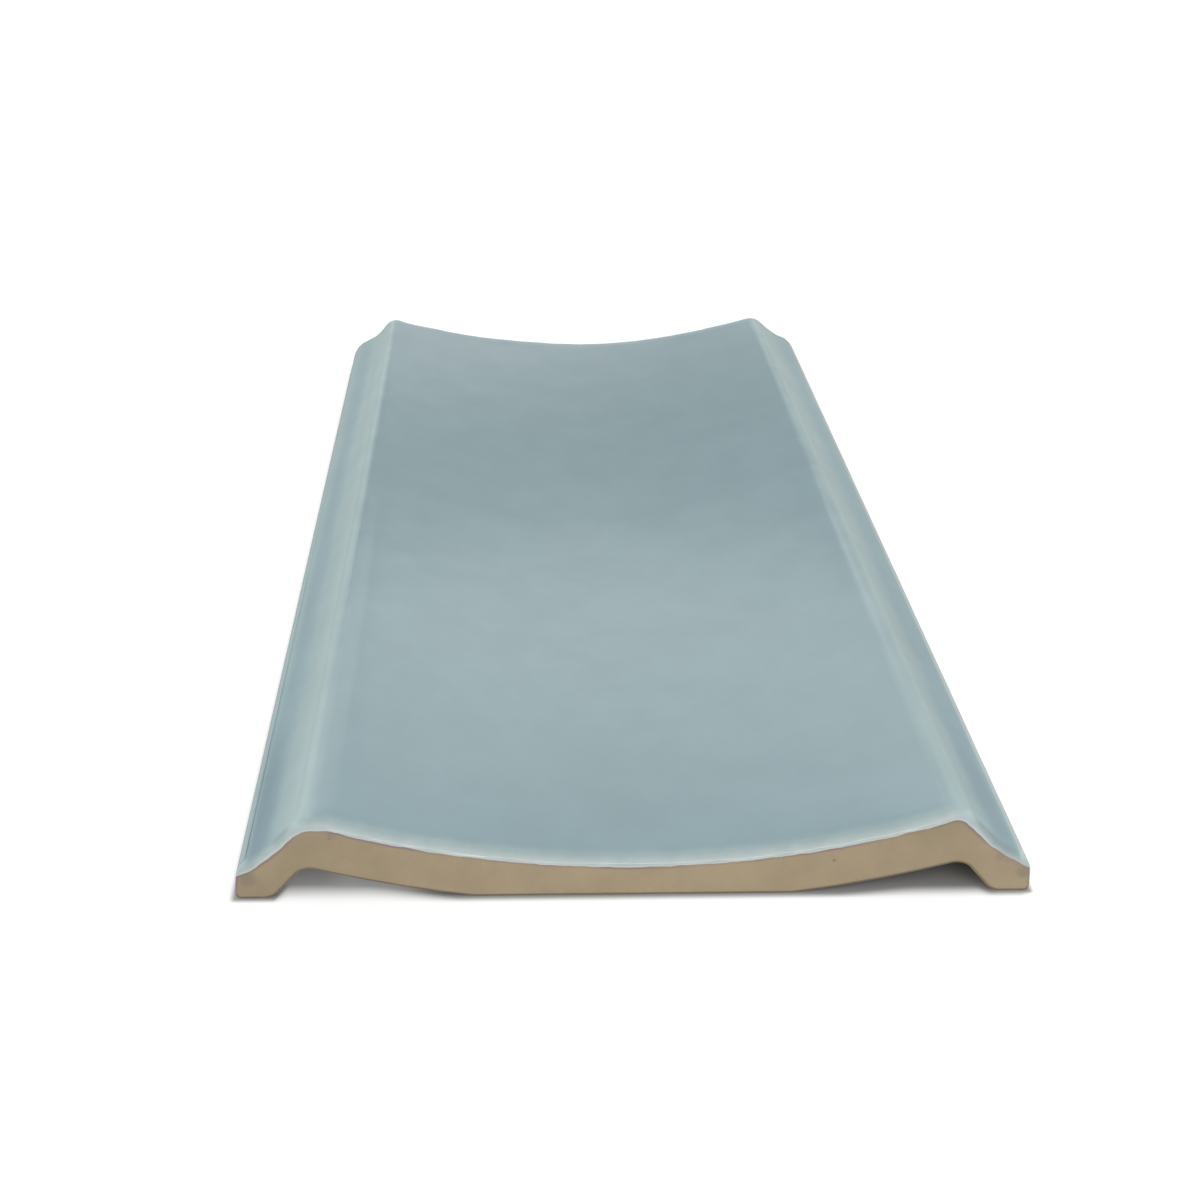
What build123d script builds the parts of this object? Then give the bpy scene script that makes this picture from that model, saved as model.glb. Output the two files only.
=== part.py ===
from build123d import *
import os
from math import sqrt

# A glazed ceramic wall tile, fired in one piece. Its face is a broad cove
# between two rounded ridges, with a small falling flange outside each ridge.
# It lies on a bed strip and two feet, with an open channel under each ridge.
# Millimetres. X runs across the section, Y along the tile and Z up from the
# bed. The origin is at the middle of the underside.

# Overall size
tile_width = 152.0
tile_length = 304.0

# Glazed face
cove_thickness = 8.2
cove_radius = 191.0
ridge_radius = 4.5
flange_width = 14.0
flange_radius = 55.0
flange_edge_height = 7.2
arris_radius = 1.8

# Long sides: straight at the foot, then leaning in with the draft of the press
side_foot_height = 2.0
side_lean = 0.5

# Underside
bed_width = 61.0
channel_radius = 215.0
channel_crown_radius = 3.5
foot_width = 7.1
foot_slope_width = 6.1
foot_inner_radius = 2.0
foot_outer_radius = 0.8

half_width = tile_width / 2
half_length = tile_length / 2
half_bed = bed_width / 2
ridge_offset = half_width - flange_width
channel_crown_offset = half_width - foot_width - foot_slope_width


def height_on_arc(radius, lowest_height, offset):
    """Height, at an offset from the middle, of an arc that is lowest there."""
    return lowest_height + radius - sqrt(radius**2 - offset**2)


# The channel arc would reach its lowest point under the bed, which cuts it off
channel_lowest_height = sqrt(channel_radius**2 - half_bed**2) - channel_radius

# Corners of the right half of the section, before any is rounded
cove_middle = (0, cove_thickness)
ridge = (ridge_offset, height_on_arc(cove_radius, cove_thickness, ridge_offset))
flange_edge = (half_width - side_lean, flange_edge_height)
side_foot_top = (half_width, side_foot_height)
foot_outer = (half_width, 0)
foot_inner = (half_width - foot_width, 0)
channel_crown = (
    channel_crown_offset,
    height_on_arc(channel_radius, channel_lowest_height, channel_crown_offset),
)
bed_edge = (half_bed, 0)
bed_middle = (0, 0)


def at_both_sides(corner, vertices):
    """The vertices of the section at a corner and at its mirror image."""
    spots = [Vector(side * corner[0], corner[1]) for side in (1, -1)]
    return [v for v in vertices if any((Vector(v) - spot).length < 0.01 for spot in spots)]


def glazed_face_border(solid):
    """Edges where the glazed, upward faces meet the ends and long sides."""
    glazed = [face for face in solid.faces() if face.normal_at().Z > 0.2]
    edges = [edge for face in glazed for edge in face.edges()]
    return [edge for edge in edges if sum(edge.is_same(other) for other in edges) == 1]


with BuildPart() as wall_tile:
    with BuildSketch(Plane.XZ) as section:
        with BuildLine():
            # Drawn outwards, a negative radius puts an arc's centre above it
            RadiusArc(cove_middle, ridge, -cove_radius)
            RadiusArc(ridge, flange_edge, -flange_radius)
            Polyline(flange_edge, side_foot_top, foot_outer, foot_inner, channel_crown)
            RadiusArc(bed_edge, channel_crown, -channel_radius)
            Line(bed_middle, bed_edge)
            mirror(about=Plane.YZ)
        make_face()
        for corner, radius in (
            (ridge, ridge_radius),
            (channel_crown, channel_crown_radius),
            (foot_inner, foot_inner_radius),
            (foot_outer, foot_outer_radius),
        ):
            fillet(at_both_sides(corner, section.vertices()), radius)
    extrude(amount=half_length, both=True)
    fillet(glazed_face_border(wall_tile.part), arris_radius)

os.makedirs("parts", exist_ok=True)
export_step(wall_tile.part, "parts/wall_tile.step")

box = wall_tile.part.bounding_box()
print("size", box.size, "volume in ml", round(wall_tile.part.volume / 1000, 1))
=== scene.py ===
from math import asin, atan2, cos, hypot, radians, sin, sqrt, tan

import bmesh
import bpy
from mathutils import Matrix, Vector
from mathutils.kdtree import KDTree


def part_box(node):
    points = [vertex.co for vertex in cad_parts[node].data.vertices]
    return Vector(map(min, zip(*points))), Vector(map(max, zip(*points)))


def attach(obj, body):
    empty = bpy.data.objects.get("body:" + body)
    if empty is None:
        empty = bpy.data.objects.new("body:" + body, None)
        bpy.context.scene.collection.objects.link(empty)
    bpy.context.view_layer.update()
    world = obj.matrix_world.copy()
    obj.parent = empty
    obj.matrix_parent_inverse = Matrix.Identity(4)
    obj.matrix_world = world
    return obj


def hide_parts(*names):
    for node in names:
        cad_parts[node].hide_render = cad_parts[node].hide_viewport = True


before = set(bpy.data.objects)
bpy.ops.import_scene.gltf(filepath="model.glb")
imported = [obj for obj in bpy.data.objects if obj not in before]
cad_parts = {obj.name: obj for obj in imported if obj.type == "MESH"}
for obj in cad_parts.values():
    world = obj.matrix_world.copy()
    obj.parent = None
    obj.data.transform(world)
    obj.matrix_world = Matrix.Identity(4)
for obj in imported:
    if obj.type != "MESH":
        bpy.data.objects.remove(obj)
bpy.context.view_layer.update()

MM = 0.001

for name in ("Cube", "Light", "Camera"):
    if name in bpy.data.objects:
        bpy.data.objects.remove(bpy.data.objects[name])


# The tile: one pressed and fired piece of buff clay with a coat of glaze. It is
# drawn as half a section, mirrored, pulled out to its length, and its glazed
# arrises are then rolled over on all four sides. The ends stay bare and flat.
node_low, node_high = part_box("wall_tile")
half_width = (node_high.x - node_low.x) / 2
half_length = (node_high.y - node_low.y) / 2

cove_thickness = 8.2 * MM
cove_radius = 191 * MM
flange_width = 14 * MM
ridge_offset = half_width - flange_width
ridge_radius = 4.5 * MM
flange_radius = 55 * MM
flange_edge_height = 7.2 * MM
arris_radius = 1.8 * MM
side_foot_height = 2 * MM
side_lean = 0.5 * MM
half_bed = 30.5 * MM
channel_radius = 215 * MM
crown_radius = 3.5 * MM
foot_width = 7.1 * MM
foot_slope_width = 6.1 * MM
foot_inner_radius = 3.5 * MM
foot_outer_radius = 0.8 * MM
rounding_segments = 8
tolerance = 0.01 * MM


def meeting_point(centre_a, radius_a, centre_b, radius_b, side):
    """Where two circles of the section meet, on one side of the line between their centres."""
    dx = centre_b[0] - centre_a[0]
    dz = centre_b[1] - centre_a[1]
    gap = hypot(dx, dz)
    along = (radius_a**2 - radius_b**2 + gap**2) / (2 * gap)
    across = side * sqrt(radius_a**2 - along**2)
    return (
        centre_a[0] + (along * dx - across * dz) / gap,
        centre_a[1] + (along * dz + across * dx) / gap,
    )


cove_centre = (0, cove_thickness + cove_radius)
ridge_tip = (ridge_offset, cove_centre[1] - sqrt(cove_radius**2 - ridge_offset**2))
flange_edge = (half_width - side_lean, flange_edge_height)
flange_centre = meeting_point(ridge_tip, flange_radius, flange_edge, flange_radius, 1)
ridge_centre = meeting_point(
    cove_centre, cove_radius + ridge_radius, flange_centre, flange_radius + ridge_radius, -1
)
channel_centre = (0, sqrt(channel_radius**2 - half_bed**2))
crown_offset = half_width - foot_width - foot_slope_width
crown = (crown_offset, channel_centre[1] - sqrt(channel_radius**2 - crown_offset**2))
foot_slope = atan2(crown[1], foot_slope_width)


def heading(centre, point):
    """Angle of a point of the section seen from a centre."""
    return atan2(point[1] - centre[1], point[0] - centre[0])


def arc_about(centre, start, end, steps):
    """Draws an arc from the section's last point, from the heading of start to that of end."""
    turn = heading(centre, end) - heading(centre, start)
    bpy.ops.mesh.spin(
        steps=steps, angle=turn, center=(centre[0], -half_length, centre[1]), axis=(0, 1, 0)
    )


def line_by(dx, dz):
    """Draws a straight line of the section from its last point."""
    bpy.ops.mesh.extrude_region_move(TRANSFORM_OT_translate={"value": (dx, 0, dz)})


def select_only(kind, wanted):
    """In edit mode, selects the vertices, edges or faces that answer to wanted, and no others."""
    bpy.ops.mesh.select_mode(type=kind)
    bpy.ops.mesh.select_all(action="DESELECT")
    mesh = bmesh.from_edit_mesh(tile.data)
    elements = {"VERT": mesh.verts, "EDGE": mesh.edges, "FACE": mesh.faces}[kind]
    for element in elements:
        element.select = wanted(element)
    mesh.select_flush_mode()
    bmesh.update_edit_mesh(tile.data)


def in_flat_end(face):
    return abs(face.normal.y) > 0.99


bpy.ops.object.select_all(action="DESELECT")
bpy.ops.mesh.primitive_plane_add(size=MM, location=(0, 0, 0))
tile = bpy.context.object
tile.name = "glazed_tile"
bpy.ops.object.mode_set(mode="EDIT")
bpy.ops.mesh.merge(type="CENTER")
bpy.ops.transform.translate(value=(0, -half_length, cove_thickness))

arc_about(cove_centre, (0, cove_thickness), ridge_centre, steps=64)
arc_about(ridge_centre, cove_centre, flange_centre, steps=16)
arc_about(flange_centre, ridge_centre, flange_edge, steps=14)
line_by(side_lean, side_foot_height - flange_edge_height)
line_by(0, -side_foot_height)
line_by(-foot_width, 0)
line_by(-foot_slope_width, crown[1])
arc_about(channel_centre, crown, (half_bed, 0), steps=12)
line_by(-half_bed, 0)

for corner, radius, turn in (
    ((half_width, 0), foot_outer_radius, radians(90)),
    ((half_width - foot_width, 0), foot_inner_radius, foot_slope),
    (crown, crown_radius, foot_slope + asin(crown_offset / channel_radius)),
):
    select_only("VERT", lambda v: hypot(v.co.x - corner[0], v.co.z - corner[1]) < tolerance)
    bpy.ops.mesh.bevel(
        offset=radius * tan(turn / 2),
        segments=rounding_segments,
        affect="VERTICES",
        clamp_overlap=False,
    )
bpy.ops.object.mode_set(mode="OBJECT")
bpy.ops.object.modifier_add(type="MIRROR")
tile.modifiers["Mirror"].merge_threshold = tolerance
bpy.ops.object.modifier_apply(modifier="Mirror")

# The whole section is filled, pulled out to the tile's length, and every edge
# round the glazed face, at the ends and along both sides, is rolled over.
bpy.ops.object.mode_set(mode="EDIT")
bpy.ops.mesh.select_all(action="SELECT")
bpy.ops.mesh.edge_face_add()
bpy.ops.mesh.extrude_region_move(TRANSFORM_OT_translate={"value": (0, 2 * half_length, 0)})
bpy.ops.mesh.select_all(action="SELECT")
bpy.ops.mesh.normals_make_consistent(inside=False)
select_only("EDGE", lambda e: sum(f.normal.z > 0.2 for f in e.link_faces) == 1)
bpy.ops.mesh.bevel(
    offset=arris_radius,
    segments=rounding_segments,
    profile=0.5,
    affect="EDGES",
    clamp_overlap=False,
)


def pull(value, reach):
    """In edit mode, moves what is selected, and what joins it less and less up to its reach."""
    bpy.ops.transform.translate(
        value=value,
        use_proportional_edit=True,
        use_proportional_connected=True,
        proportional_edit_falloff="SMOOTH",
        proportional_size=reach,
    )


# Firing leaves the face a little uneven. At the near end the left ridge has sunk
# and spread outwards and the right one stands higher. At the far end both ridges
# have sunk, the cove is shallower, and the outer edges of the flanges turn up.
# Each row: place across, end, rise and reach, in millimetres
NEAR, FAR = -1, 1
half_strip = 0.7 * MM
arris_depth = 2.5 * MM
lowest_arris = side_foot_height + 1 * MM
for across, end, rise, reach in (
    (-72, NEAR, -0.3, 4.6),
    (-64.9, NEAR, 0.42, 3.8),
    (-60.9, NEAR, -0.66, 3.1),
    (58, NEAR, 0.13, 9),
    (62.6, NEAR, 0.19, 6.5),
    (-73.3, FAR, 0.24, 2.3),
    (-67.1, FAR, -0.81, 4.4),
    (-57, FAR, -0.62, 11),
    (-17.5, FAR, 0.44, 27.5),
    (63.7, FAR, -0.42, 5.8),
    (58.9, FAR, -0.4, 15),
    (72.8, FAR, 0.87, 4.3),
):
    select_only(
        "VERT",
        lambda v: abs(v.co.x - across * MM) < half_strip
        and v.co.y * end > half_length - arris_depth
        and v.co.z > lowest_arris
        and any(f.normal.z > 0.1 for f in v.link_faces),
    )
    pull((0, 0, rise * MM), reach * MM)

# A ring inside each end keeps the flat clay flat up to its rounded border.
end_border = 0.7 * MM
select_only("FACE", lambda f: in_flat_end(f) and len(f.verts) > 4)
bpy.ops.mesh.inset(thickness=end_border, depth=0)

# The lower edges of the bare ends are wiped with a sponge before firing, which
# takes their sharpness off.
sponged_radius = 0.3 * MM
select_only(
    "EDGE",
    lambda e: any(in_flat_end(f) for f in e.link_faces)
    and any(f.normal.z < -0.05 for f in e.link_faces),
)
bpy.ops.mesh.bevel(offset=sponged_radius, segments=2, affect="EDGES", clamp_overlap=False)

# The long strips are cut across, so that the ripples of the glaze have vertices
# to move.
cuts_across = 150
select_only("EDGE", lambda e: e.calc_length() > half_length)
bpy.ops.mesh.subdivide(number_cuts=cuts_across)
bpy.ops.object.mode_set(mode="OBJECT")

# The clay line is where the glaze stops: at the foot of the rolled arris on the
# ends, and low down on the long sides. Every vertex keeps how far past that line
# it lies, in millimetres: more than 0 on the glaze and less than 0 on bare clay.
side_glaze_foot = 1.4 * MM
corners = [v.co for v in tile.data.vertices]
upward = set()
other = set()
sponged = set()
for face in tile.data.polygons:
    (upward if face.normal.z > 0.03 else other).update(face.vertices)
    if face.normal.z < -0.1 and 0.1 < abs(face.normal.y) < 0.97:
        sponged.update(face.vertices)
glazed = {
    index
    for index, corner in enumerate(corners)
    if index in upward
    or (
        abs(corner.x) > half_width - side_lean - tolerance
        and abs(corner.y) < half_length - tolerance
        and corner.z > side_glaze_foot
    )
}
line_points = [corners[i] for i in upward & other if abs(corners[i].y) > half_length - tolerance]
# At the ends of the sides it runs up the edge, which leans in as it rises, as
# these heights and leans in millimetres say
heights_and_leans = (
    (1.4, 0.0),
    (2.0, 0.0),
    (2.6, 0.06),
    (3.2, 0.12),
    (3.8, 0.17),
    (4.4, 0.23),
    (5.0, 0.29),
)
for side in (-1, 1):
    for strip in range(cuts_across + 2):
        along = -half_length + 2 * half_length * strip / (cuts_across + 1)
        line_points.append(Vector((side * half_width, along, side_glaze_foot)))
    for height, lean in heights_and_leans:
        for end in (-half_length, half_length):
            line_points.append(Vector((side * (half_width - lean * MM), end, height * MM)))


def distances_to(points):
    """Every vertex's distance from the nearest of the points, in millimetres."""
    tree = KDTree(len(points))
    for index, point in enumerate(points):
        tree.insert(point, index)
    tree.balance()
    return [tree.find(corner)[2] / MM for corner in corners]


def keep_on_vertices(attribute, values):
    tile.data.attributes.new(attribute, "FLOAT", "POINT")
    tile.data.attributes[attribute].data.foreach_set("value", values)


past_line = [
    distance if index in glazed else -distance
    for index, distance in enumerate(distances_to(line_points))
]
keep_on_vertices("past_clay_line", past_line)

# The lower edge of each end gets a band of painted shade. Every vertex keeps its
# distance from that edge too.
lower_edge = [
    corners[i]
    for face in tile.data.polygons
    if in_flat_end(face)
    for i in face.vertices
    if i in sponged and i not in upward
]
keep_on_vertices("above_lower_edge", distances_to(lower_edge))

# The two far corners have drawn in a little.
corner_width = 1.2 * MM
corner_depth = 0.7 * MM
corner_foot = side_foot_height + 1.5 * MM
corner_reach = 3.5 * MM
bpy.ops.object.mode_set(mode="EDIT")
for side, drawn_in in ((-1, 0.7 * MM), (1, 0.35 * MM)):
    select_only(
        "VERT",
        lambda v: v.co.x * side > half_width - corner_width
        and v.co.y > half_length - corner_depth
        and v.co.z > corner_foot,
    )
    pull((-drawn_in * side, -drawn_in, 0), corner_reach)
bpy.ops.object.mode_set(mode="OBJECT")


def fade(distance, start, full):
    """0 up to the start and 1 from full on, evenly more between; full may lie before the start."""
    return min(max((distance - start) / (full - start), 0.0), 1.0)


# The glaze lies in soft ripples, and gathers in small lumps along the arris.
# Their strength goes by the millimetres past the clay line.
ripple_weights = [fade(distance, 1.2, 5.2) for distance in past_line]
lump_weights = [fade(distance, 0.2, 0.6) * fade(distance, 4.6, 1.4) for distance in past_line]
for group, weights, noise_size, height in (
    ("glaze_ripples", ripple_weights, 19 * MM, 0.12 * MM),
    ("arris_lumps", lump_weights, 5 * MM, 0.26 * MM),
):
    bpy.ops.object.vertex_group_add()
    tile.vertex_groups.active.name = group
    for index, weight in enumerate(weights):
        if weight > 0:
            tile.vertex_groups.active.add([index], weight, "REPLACE")
    bpy.ops.object.modifier_add(type="DISPLACE")
    ripple = tile.modifiers["Displace"]
    ripple.texture = bpy.data.textures.new(group, "CLOUDS")
    ripple.texture.noise_scale = noise_size
    ripple.texture.noise_depth = 2
    ripple.texture_coords = "LOCAL"
    ripple.vertex_group = group
    ripple.mid_level = 0.5
    ripple.strength = height
    bpy.ops.object.modifier_apply(modifier="Displace")
bpy.ops.object.shade_smooth_by_angle(angle=radians(32))


# The finish: a pale grey-blue glaze that breaks paler where it runs thin, over
# the arrises and ridges, and pools deeper in the hollows of the flanges. Over it
# lies painted light: painted highlights on the ridges and on the glaze's edge, a
# painted dark reflection in the flange hollows near the near end, painted shade
# just inside the arris at the ends of the flanges, and painted light that makes
# the flanges and ridges paler towards the far end. Past the clay line the buff
# body is bare, with a mauve seam where the glaze stops, and painted shade along
# its lower edge.
def make_nodes_for(owner):
    """From here on, nodes are made for this material or world, which loses its old ones."""
    global shader
    owner.use_nodes = True
    shader = owner.node_tree
    shader.nodes.clear()


def node(kind, inputs=(), **settings):
    """A node with its settings, and its inputs set or linked by their names or numbers."""
    made = shader.nodes.new(kind)
    for name, value in settings.items():
        setattr(made, name, value)
    for name, value in dict(inputs).items():
        if isinstance(value, bpy.types.NodeSocket):
            shader.links.new(value, made.inputs[name])
        else:
            made.inputs[name].default_value = value
    return made


def maths(operation, first, second=0.0):
    return node("ShaderNodeMath", {0: first, 1: second}, operation=operation).outputs[0]


def product(*factors):
    """All the factors multiplied together."""
    result = factors[0]
    for factor in factors[1:]:
        result = maths("MULTIPLY", result, factor)
    return result


def total(*parts):
    """All the parts added together."""
    result = parts[0]
    for part in parts[1:]:
        result = maths("ADD", result, part)
    return result


def ranged(value, from_low, from_high, to_low=0.0, to_high=1.0):
    """Takes a value from one range smoothly to another, and holds it at the ends."""
    made = node("ShaderNodeMapRange", {"Value": value}, interpolation_type="SMOOTHSTEP")
    made.inputs["From Min"].default_value = from_low
    made.inputs["From Max"].default_value = from_high
    made.inputs["To Min"].default_value = to_low
    made.inputs["To Max"].default_value = to_high
    return made.outputs["Result"]


def band(value, rise_start, rise_end, fall_start, fall_end):
    """1 between the end of the rise and the start of the fall, and 0 outside both."""
    falling = ranged(value, fall_start, fall_end, 1.0, 0.0)
    return product(ranged(value, rise_start, rise_end), falling)


def blend_colour(factor, first, second, blend_type="MIX"):
    made = node(
        "ShaderNodeMix", {0: factor, 6: first, 7: second}, data_type="RGBA", blend_type=blend_type
    )
    return made.outputs[2]


def shaded(colour, tone):
    """The colour made paler or deeper by a tone about 1."""
    grey = node("ShaderNodeCombineColor", {0: tone, 1: tone, 2: tone}).outputs[0]
    return blend_colour(1.0, colour, grey, "MULTIPLY")


finish = bpy.data.materials.new("grey_blue_glaze_on_buff_clay")
make_nodes_for(finish)
place = node("ShaderNodeTexCoord").outputs["Object"]
along_axes = node("ShaderNodeSeparateXYZ", {0: place})
x_at = along_axes.outputs["X"]
y_at = along_axes.outputs["Y"]
across = maths("ABSOLUTE", x_at)


def cloudy(grain, detail=2.0, roughness=0.5):
    """Noise whose patches are about one grain, in metres, across."""
    made = node(
        "ShaderNodeTexNoise",
        {"Vector": place, "Scale": 1 / grain, "Detail": detail, "Roughness": roughness},
    )
    return made.outputs["Fac"]


def kept(attribute):
    """What the vertices keep under this name."""
    made = node("ShaderNodeAttribute", attribute_type="GEOMETRY", attribute_name=attribute)
    return made.outputs["Fac"]


def left_to_right(on_left, on_right):
    """One value on the left half of the tile and another on the right."""
    return ranged(x_at, -10 * MM, 10 * MM, on_left, on_right)


past = kept("past_clay_line")
waver = product(maths("SUBTRACT", cloudy(4 * MM, 3.0), 0.5), 0.9)
past_wavering = total(past, waver)
on_glaze = ranged(past_wavering, -0.08, 0.08)

# The borders of the coats waver, and lie further in on the right, most of all at
# the near end
soft = product(maths("SUBTRACT", cloudy(15 * MM), 0.5), 2.4 * MM)
drift = ranged(y_at, -half_length, 0.0, 1.4 * MM, 0.5 * MM)
drift = product(left_to_right(0.0, 1.0), drift)
across_wavering = total(across, soft, drift, -0.4 * MM)
# Painted light: the flanges and ridges are painted paler towards the far end
to_far_end = ranged(y_at, -100 * MM, 130 * MM)

# Thin glaze: all of it at the clay line and hardly any 4 mm in, and some along
# the outer edges of the flanges and the ridges, where it adds a painted highlight
in_from_line = ranged(total(past, product(waver, 1.5)), 0.0, 5.0, 1.0, 0.0)
thinning = total(
    ranged(across, 59 * MM, 64 * MM, 1.8, 5.0), ranged(x_at, 60 * MM, 64 * MM, 0.0, 3.0)
)
thin_at_arris = product(
    maths("POWER", in_from_line, thinning), ranged(x_at, 60 * MM, 64 * MM, 1.0, 0.8)
)
# Along the ridges: thin glaze and a painted highlight
thin_glaze_and_highlight_on_ridge = band(across_wavering, 59 * MM, 63.5 * MM, 64 * MM, 70.5 * MM)
near_left = product(ranged(y_at, -105 * MM, -75 * MM, 1.0, 0.0), left_to_right(1.0, 0.0))
edge_across = total(across, left_to_right(0.0, -0.6 * MM), product(near_left, -0.8 * MM))
thin_at_edge = product(ranged(edge_across, 71.5 * MM, 74.7 * MM), left_to_right(0.85, 0.5))
line_across = total(across, left_to_right(0.0, 1.2 * MM))
line_at_edge = product(ranged(line_across, 74.4 * MM, 75.3 * MM), left_to_right(0.4, 0.8))

# The glaze ends in a narrow bead, painted palest as a highlight on its rolled edge
bead_highlight = product(
    ranged(past_wavering, 0.1, 0.75, 1.0, 0.0), ranged(x_at, 66 * MM, 70 * MM, 1.0, 0.3)
)

# Painted shade: just inside the arris at the ends of the flanges
on_flange = ranged(across_wavering, 61 * MM, 64 * MM)
hollow_across = total(across, left_to_right(0.0, 0.6 * MM))
hollow_outside = product(ranged(across, 67.5 * MM, 69.8 * MM), left_to_right(0.5, 0.25))
painted_shade_at_arris = product(
    band(past, 0.3, 1.1, 1.6, 3.0),
    ranged(hollow_across, 63.1 * MM, 66.6 * MM),
    maths("SUBTRACT", 1.0, hollow_outside),
)
# Along the hollow of each flange: deeper glaze, and a painted dark reflection that is strongest at
# the near end on the left
pooled_and_dark_reflection = product(
    band(across_wavering, 67.5 * MM, 71 * MM, 72.5 * MM, 75 * MM),
    ranged(y_at, -130 * MM, -98 * MM, 1.0, 0.2),
    left_to_right(1.0, 0.6),
)

glaze_colour = (0.256, 0.365, 0.393, 1)
thin_colour = (0.50, 0.575, 0.56, 1)
bead_highlight_colour = (0.625, 0.70, 0.685, 1)
flange_colour = (0.285, 0.405, 0.435, 1)
far_flange_colour = (0.35, 0.485, 0.51, 1)
ridge_colour = (0.388, 0.503, 0.505, 1)
far_ridge_colour = (0.42, 0.55, 0.55, 1)
# Deeper glaze with a painted dark reflection in the flange hollows
pooled_and_reflection_colour = (0.215, 0.315, 0.352, 1)
# Painted shade just inside the arris at the ends of the flanges
arris_painted_shade_colour = (0.19, 0.263, 0.28, 1)
coat = glaze_colour
for where, coat_there in (
    (on_flange, blend_colour(to_far_end, flange_colour, far_flange_colour)),
    (thin_glaze_and_highlight_on_ridge, blend_colour(to_far_end, ridge_colour, far_ridge_colour)),
    (pooled_and_dark_reflection, pooled_and_reflection_colour),
    (painted_shade_at_arris, arris_painted_shade_colour),
    (thin_at_edge, ridge_colour),
    (line_at_edge, thin_colour),
    (thin_at_arris, thin_colour),
    (bead_highlight, bead_highlight_colour),
):
    coat = blend_colour(where, coat, coat_there)
coat = shaded(coat, ranged(cloudy(14 * MM, 4.0, 0.6), 0.3, 0.7, 0.975, 1.025))

# The clay is a little darker under the ridges, and has painted shade along its lower edge
clay_colour = (0.478, 0.382, 0.25, 1)
seam_colour = (0.30, 0.215, 0.275, 1)
lower_edge_shade_colour = (0.23, 0.165, 0.09, 1)
under_ridge = product(
    ranged(across, 40 * MM, 54 * MM), ranged(x_at, 62 * MM, 69 * MM, 1.0, 0.0), 0.09
)
clay_tone = ranged(cloudy(11 * MM, 5.0, 0.65), 0.3, 0.7, 0.93, 1.05)
clay = shaded(clay_colour, maths("SUBTRACT", clay_tone, under_ridge))
seam = product(
    ranged(past_wavering, -0.75, -0.1),
    ranged(past, -0.68, -0.4),
    ranged(cloudy(13 * MM), 0.4, 0.62, 0.25, 0.85),
)
clay = blend_colour(seam, clay, seam_colour)
# Painted shade along the lower edge of each end
above_edge = total(kept("above_lower_edge"), product(waver, 0.15))
clay = blend_colour(ranged(above_edge, 0.0, 0.36, 0.9, 0.0), clay, lower_edge_shade_colour)


def mark(x, z, width, strength):
    """A soft round mark on the near end, strongest at its middle."""
    middle = (x * MM, -half_length, z * MM)
    away = node("ShaderNodeVectorMath", {0: place, 1: middle}, operation="DISTANCE")
    away = total(away.outputs["Value"], product(waver, 0.25 * width * MM))
    return ranged(away, 0.15 * width * MM, 0.5 * width * MM, strength, 0.0)


# Marks on the near end: grey patches, most by the outer corners, a mauve stain just
# below the clay line on the right, and two small specks of iron. Each mark has its
# place across and up, its width, in millimetres, and its strength
grey_patch_colour = (0.20, 0.19, 0.17, 1)
stain_colour = (0.40, 0.27, 0.24, 1)
iron_colour = (0.13, 0.09, 0.06, 1)
grey_patches = total(
    mark(-73.4, 4.6, 5.0, 0.35), mark(74.6, 4.4, 4.0, 0.35), mark(-57, 14.4, 2.5, 0.2)
)
stain = total(
    mark(69.7, 8.1, 2.8, 0.6), mark(71.3, 7.3, 2.4, 0.45), mark(72.8, 6.5, 2.0, 0.25)
)
specks = total(mark(38.1, 7.5, 0.9, 0.45), mark(-57.5, 13.6, 0.7, 0.3))
clay = blend_colour(grey_patches, clay, grey_patch_colour)
clay = blend_colour(stain, clay, stain_colour)
clay = blend_colour(specks, clay, iron_colour)

# Fine relief: the peel of the gloss, the grit of the clay, and the glaze's own
# thickness where it stops
peel_height = 0.012 * MM
grit_height = 0.10 * MM
glaze_thickness = 0.12 * MM
peel = product(cloudy(2.6 * MM), on_glaze, peel_height)
grit = product(cloudy(0.5 * MM, 3.0, 0.7), maths("SUBTRACT", 1.0, on_glaze), grit_height)
relief = total(peel, grit, product(on_glaze, glaze_thickness))
bump = node("ShaderNodeBump", {"Height": relief, "Distance": 1.0, "Strength": 1.0})

clay_roughness = 0.9
glaze_roughness = 0.14
surface = node(
    "ShaderNodeBsdfPrincipled",
    {
        "Base Color": blend_colour(on_glaze, clay, coat),
        "Roughness": ranged(on_glaze, 0.0, 1.0, clay_roughness, glaze_roughness),
        "IOR": 1.5,
        "Normal": bump.outputs["Normal"],
    },
)
node("ShaderNodeOutputMaterial", {"Surface": surface.outputs[0]})
tile.data.materials.append(finish)

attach(tile, "root")
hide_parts("wall_tile")


# The studio floor: white paper that keeps the tile's shadow. Its whiteness is
# seen by the camera alone near the tile, and grows from nothing under the tile
# to full a little way outside it, so that it throws no light on the clay.
floor_size = 6
floor_colour = (0.38, 0.38, 0.38, 1)
whitening = 0.72
bpy.ops.object.select_all(action="DESELECT")
bpy.ops.mesh.primitive_plane_add(size=floor_size, location=(0, 0, 0))
floor = bpy.context.object
floor.name = "white_floor"
paper = bpy.data.materials.new("white_paper")
make_nodes_for(paper)
ray = node("ShaderNodeLightPath")
spot = node("ShaderNodeSeparateXYZ", {0: node("ShaderNodeTexCoord").outputs["Object"]})
floor_x = spot.outputs["X"]
floor_y = spot.outputs["Y"]
floor_across = maths("ABSOLUTE", floor_x)

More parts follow.
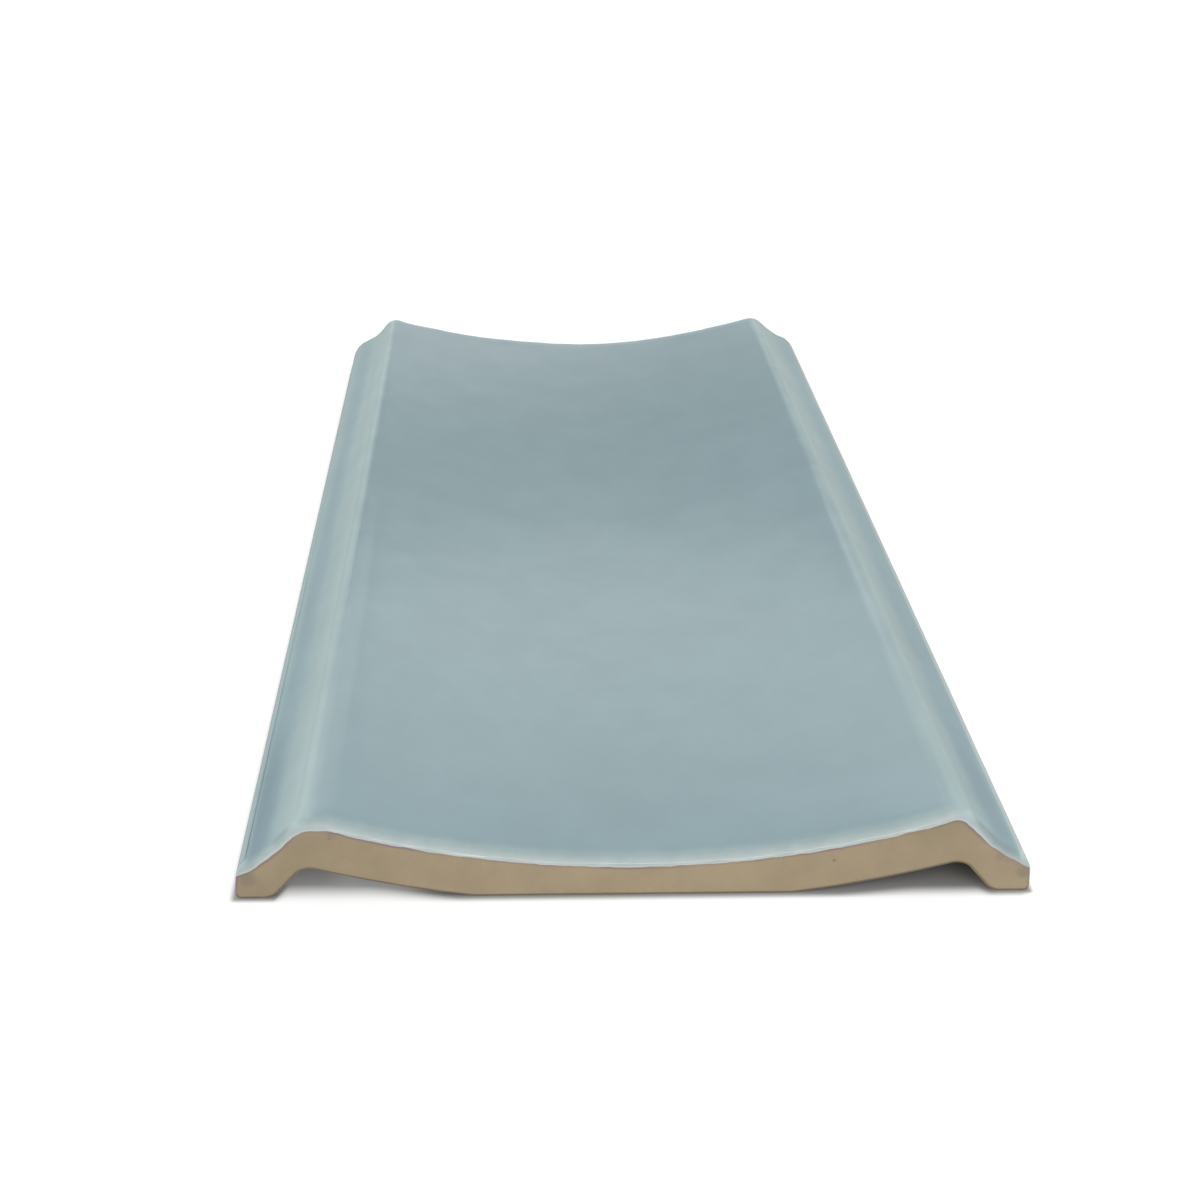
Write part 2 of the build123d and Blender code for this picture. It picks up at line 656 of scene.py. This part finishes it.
# Under the ridges the white reaches in, so the light seems to enter the channels
in_channel = ranged(floor_across, 66 * MM, 69 * MM, 1.0, 0.0)
reach_left = ranged(floor_x, -52 * MM, -32 * MM, 6.3 * MM, 0.0)
reach_right = ranged(floor_x, 38 * MM, 56 * MM, 0.0, 2.3 * MM)
reach_in = product(in_channel, total(reach_left, reach_right))
outside_x = maths("MAXIMUM", total(floor_across, -half_width), 0.0)
outside_y = maths("MAXIMUM", total(maths("ABSOLUTE", floor_y), reach_in, -half_length), 0.0)
outside = total(maths("POWER", outside_x, 2.0), maths("POWER", outside_y, 2.0))
outside = maths("SQRT", outside)
fully_white = total(
    reach_in,
    ranged(floor_x, -60 * MM, -35 * MM, 1.8 * MM, 2.2 * MM),
    ranged(floor_x, 74 * MM, 76.5 * MM, 0.0, -0.9 * MM),
)
seen = ranged(maths("DIVIDE", outside, fully_white), 0.0, 1.0, 0.0, whitening)
left_light = product(
    ranged(floor_x, -61 * MM, -54 * MM, 0.11, 0.17),
    ranged(floor_x, -46 * MM, -35 * MM, 1.0, 0.0),
    ranged(floor_y, 20 * MM - half_length, 6 * MM - half_length),
    in_channel,
)
seen = product(maths("MAXIMUM", seen, left_light), ray.outputs["Is Camera Ray"])

# The gloss shows the white only far out
mirrored = maths("MAXIMUM", ray.outputs["Is Glossy Ray"], ray.outputs["Is Transmission Ray"])
seen_in_gloss = product(mirrored, ranged(outside, 0.4, 2.2, 0.0, whitening))
glow = node(
    "ShaderNodeEmission", {"Color": (1, 1, 1, 1), "Strength": total(seen, seen_in_gloss)}
)
matt = node("ShaderNodeBsdfDiffuse", {"Color": floor_colour})
glow_and_matt = node("ShaderNodeAddShader", {0: matt.outputs[0], 1: glow.outputs[0]})
node("ShaderNodeOutputMaterial", {"Surface": glow_and_matt.outputs[0]})
floor.data.materials.append(paper)


# The studio sky: pale all round, with what the gloss of the glaze shows of a
# room. That is a bright band with a darker gap below it, a small glow under the
# gap, and darker sides and overhead. The camera itself sees plain white.
world = bpy.context.scene.world or bpy.data.worlds.new("studio")
bpy.context.scene.world = world
make_nodes_for(world)
outwards = node("ShaderNodeTexCoord").outputs["Generated"]
sky_axes = node("ShaderNodeSeparateXYZ", {0: outwards})
to_right = sky_axes.outputs["X"]
to_left = product(to_right, -1.0)
to_side = maths("ABSOLUTE", to_right)
up = sky_axes.outputs["Z"]


def up_when_tilted(degrees):
    """How far up a direction points, by an upright that leans to the right."""
    upright = (sin(radians(degrees)), 0, cos(radians(degrees)))
    made = node("ShaderNodeVectorMath", {0: outwards, 1: upright}, operation="DOT_PRODUCT")
    return made.outputs["Value"]


# Heights and distances aside are parts of a direction of length 1, so that 0.42
# up is 25 degrees above the horizon
sky_level = 0.87
glare_level = 0.66
small_glow_level = 0.22
gap_depth = 0.57
side_depth = 0.6
overhead_level = 0.4
up_band = up_when_tilted(12)
up_gap = up_when_tilted(4)
band_foot = (0.410, 0.445)
glare = product(band(up_band, *band_foot, 0.53, 0.565), ranged(to_right, 0.15, 0.24, 1.0, 0.0))
gap = product(
    ranged(up_gap, 0.325, 0.342),
    ranged(up_band, *band_foot, 1.0, 0.0),
    ranged(to_right, 0.19, 0.26, 1.0, 0.0),
    ranged(to_left, 0.12, 0.19, 1.0, 0.0),
)
small_glow = product(
    band(to_right, -0.02, 0.03, 0.09, 0.13), band(up, 0.27, 0.30, 0.325, 0.345)
)
beside = product(
    total(ranged(to_right, 0.2, 0.34), ranged(to_left, 0.18, 0.3)),
    ranged(to_side, 0.6, 0.8, 1.0, 0.0),
    ranged(up, 0.30, 0.42, 1.0, 0.0),
)
dimming = product(
    maths("SUBTRACT", 1.0, product(beside, side_depth)),
    ranged(up, 0.66, 0.82, 1.0, overhead_level),
)
level = total(
    sky_level,
    product(glare, glare_level),
    product(small_glow, small_glow_level),
    product(gap, -gap_depth),
)
sky = node("ShaderNodeBackground", {"Color": (1, 1, 1, 1), "Strength": product(level, dimming)})
white = node("ShaderNodeBackground", {"Color": (1, 1, 1, 1), "Strength": 1.0})
seen_sky = node(
    "ShaderNodeMixShader",
    {
        0: node("ShaderNodeLightPath").outputs["Is Camera Ray"],
        1: sky.outputs[0],
        2: white.outputs[0],
    },
)
node("ShaderNodeOutputWorld", {"Surface": seen_sky.outputs[0]})

# The lamps: a broad soft one to the front right, a small low one that alone
# glints on the arris, and one at each side. All point at the tile.
# Each row: name, place, size, energy, and whether the gloss shows it
for name, stand, size, energy, glints in (
    ("soft_lamp", (0.37, -1.40, 1.15), 1.2, 6, False),
    ("low_lamp", (0.08, -1.5, 0.2), 0.25, 0.85, True),
    ("side_lamp", (-1.6, -0.2, 0.35), 1.0, 13.5, False),
    ("side_lamp", (1.6, -0.2, 0.35), 1.0, 13.5, False),
):
    bpy.ops.object.light_add(type="AREA", location=stand)
    lamp = bpy.context.object
    lamp.name = name
    lamp.data.shape = "DISK"
    lamp.data.size = size
    lamp.data.energy = energy
    lamp.visible_glossy = glints
    lamp.rotation_euler = (-lamp.location).to_track_quat("-Z", "Y").to_euler()

# The camera stands where the photograph was taken from, with the picture's frame
# set off to one side.
turned_right = radians(0.645)
looking_down = radians(27.015)
rolled = radians(0.217)
bpy.ops.object.camera_add(location=(-23.34 * MM, -422.09 * MM, 201.33 * MM))
camera = bpy.context.object
turn = Matrix.Rotation(-turned_right, 3, "Z")
turn = turn @ Matrix.Rotation(radians(90) - looking_down, 3, "X")
turn = turn @ Matrix.Rotation(-rolled, 3, "Z")
camera.rotation_euler = turn.to_euler()
camera.data.sensor_width = 36
camera.data.lens = 51.98
camera.data.shift_x = 0.06163
camera.data.clip_start = 0.01
bpy.context.scene.camera = camera
bpy.context.scene.view_settings.view_transform = "Standard"
